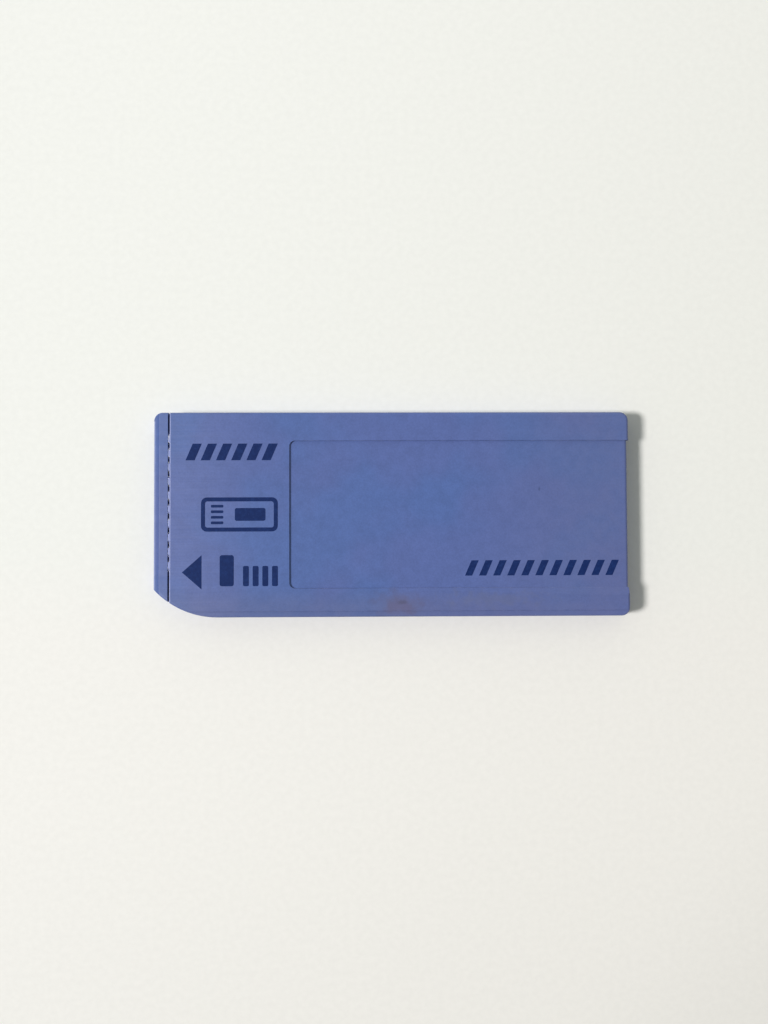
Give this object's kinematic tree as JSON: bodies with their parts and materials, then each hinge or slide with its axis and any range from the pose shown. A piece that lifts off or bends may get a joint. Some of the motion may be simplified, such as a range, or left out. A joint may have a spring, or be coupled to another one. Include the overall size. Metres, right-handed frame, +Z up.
{
  "type": "memory card",
  "caption": "Thin oblong memory card with a cut corner, a row of contacts in windows under its nose, a shallow label recess that wraps the tail, and a sliding write lock underneath",
  "frame": {"origin": "middle of the card's outline, on the plane of its underside", "axes": "+X along the card from its contact nose to its tail, +Y across it towards the side away from the cut corner, +Z up through the label face; it lies flat, label up"},
  "size_m": [0.05, 0.0216, 0.0028],
  "materials": {
    "case": "satin",
    "board": "satin",
    "contact": "polished",
    "chip": "matte",
    "leg": "satin",
    "capacitor": "satin",
    "resistor": "satin",
    "slider": "satin",
    "spring": "satin",
    "ink": "satin"
  },
  "bodies": {
    "card": {"bottom_case": "case", "top_cover": "case", "circuit_board": "board", "contact_1": "contact", "contact_2": "contact", "contact_3": "contact", "contact_4": "contact", "contact_5": "contact", "contact_6": "contact", "contact_7": "contact", "contact_8": "contact", "contact_9": "contact", "contact_10": "contact", "controller_chip": "chip", "flash_chip": "chip", "controller_leads": "leg", "flash_leads": "leg", "capacitor_1": "capacitor", "capacitor_2": "capacitor", "capacitor_3": "capacitor", "capacitor_4": "capacitor", "capacitor_5": "capacitor", "capacitor_6": "capacitor", "resistor_1": "resistor", "resistor_2": "resistor", "resistor_3": "resistor", "resistor_4": "resistor", "resistor_5": "resistor", "lock_pad_common": "contact", "lock_pad_signal": "contact"},
    "slider": {"lock_slider": "slider", "lock_spring": "spring"}
  },
  "joints": [
    {"name": "lock_slide", "type": "slide", "parent": "card", "child": "slider", "axis": [0, -1, 0], "range_m": [0, 0.002]}
  ]
}
